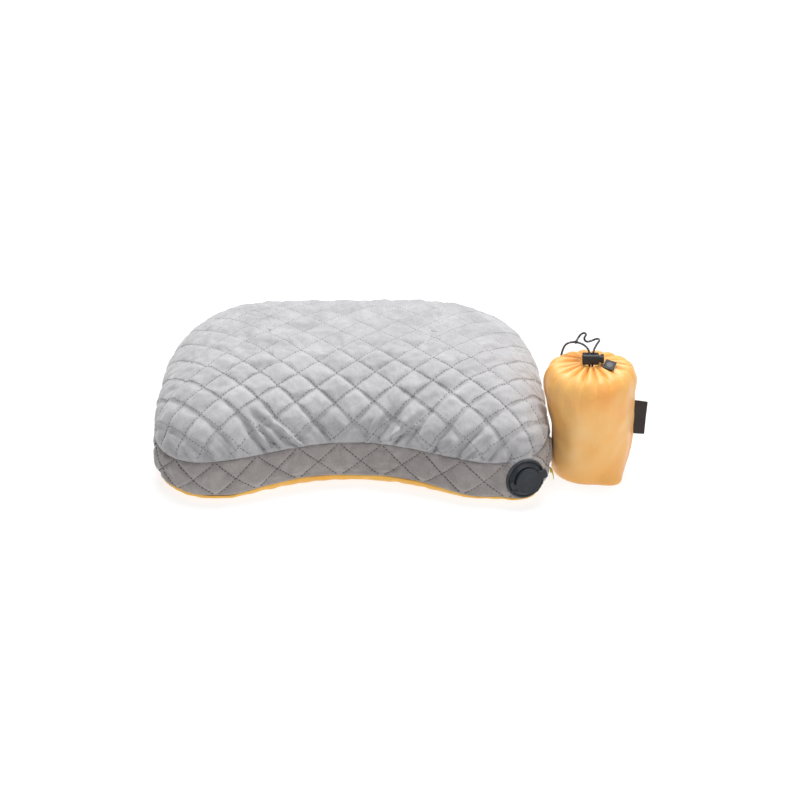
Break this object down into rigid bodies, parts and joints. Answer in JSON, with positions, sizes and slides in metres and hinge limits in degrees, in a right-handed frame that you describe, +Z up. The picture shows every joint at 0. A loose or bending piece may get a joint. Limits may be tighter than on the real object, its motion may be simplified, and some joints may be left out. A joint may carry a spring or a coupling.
{
  "type": "camp pillow",
  "caption": "Inflatable camp pillow with quilted contoured cover, flat two-stage air valve with flip lid, and a drawcord stuff sack packed beside it.",
  "frame": {"origin": "on the flat of the pillow's underside, midway between its two ends, on the line through the outline's ridge origin", "axes": "+X along the pillow's length towards the valve end, +Y from the concave neck edge to the straight back edge, +Z up"},
  "size_m": [0.4651, 0.2895, 0.1371],
  "materials": {
    "suede": "brushed microfibre, quilted",
    "wadding": "soft polyester wadding",
    "backing": "thin knitted backing",
    "base_nylon": "light woven nylon, slight sheen",
    "film": "coated airtight film",
    "tab_tape": "narrow woven tape",
    "valve_plastic": "moulded, satin",
    "lid_plastic": "moulded, satin",
    "seal_rubber": "soft, matt",
    "membrane_rubber": "thin silicone, matt",
    "steel_pin": "bright drawn",
    "sack_nylon": "light ripstop nylon, sheen",
    "cord": "braided, flecked",
    "lock_plastic": "moulded, satin",
    "spring_steel": "bright wire",
    "patch": "woven, matt, lighter middle",
    "label": "folded woven tape, matt"
  },
  "bodies": {
    "pillow": {"top_cover": "suede", "top_wadding": "wadding", "top_backing": "backing", "side_band": "suede", "side_wadding": "wadding", "side_backing": "backing", "bottom_cover": "base_nylon", "bladder_upper": "film", "bladder_lower": "film", "side_tab": "tab_tape", "valve_flange": "valve_plastic"},
    "valve_plug": {"valve_plug": "valve_plastic", "plug_seal": "seal_rubber", "hinge_pin": "steel_pin"},
    "valve_lid": {"valve_lid": "lid_plastic", "lid_seal": "seal_rubber"},
    "membrane": {"membrane": "membrane_rubber"},
    "sack": {"sack_front": "sack_nylon", "sack_back": "sack_nylon", "packed_roll": "wadding", "cord_channel": "sack_nylon", "channel_cord": "cord", "cord_left": "cord", "cord_right": "cord", "cord_knot": "cord", "lock_barrel": "lock_plastic", "lock_spring": "spring_steel", "square_patch": "patch", "side_label": "label"},
    "lock_plunger": {"lock_plunger": "lock_plastic"}
  },
  "joints": [
    {"name": "plug_pull", "type": "slide", "parent": "pillow", "child": "valve_plug", "axis": [0.376, -0.9213, 0.0993], "range_m": [0, 0.012]},
    {"name": "lid_hinge", "type": "hinge", "parent": "valve_plug", "child": "valve_lid", "pos_m": [0.14985, -0.1481, 0.02386], "axis": [0.2666, 0.0049, -0.9638], "range_deg": [0, 150]},
    {"name": "membrane_lift", "type": "slide", "parent": "valve_plug", "child": "membrane", "axis": [-0.376, 0.9213, -0.0993], "range_m": [0, 0.0012], "stiffness_N_per_m": 10},
    {"name": "sack_lift", "type": "slide", "parent": "pillow", "child": "sack", "axis": [0, 0, 1], "range_m": [0, 0.2]},
    {"name": "plunger_press", "type": "slide", "parent": "sack", "child": "lock_plunger", "axis": [-1, 0, 0], "range_m": [0, 0.002], "stiffness_N_per_m": 600, "deforming": ["lock_spring"]}
  ]
}
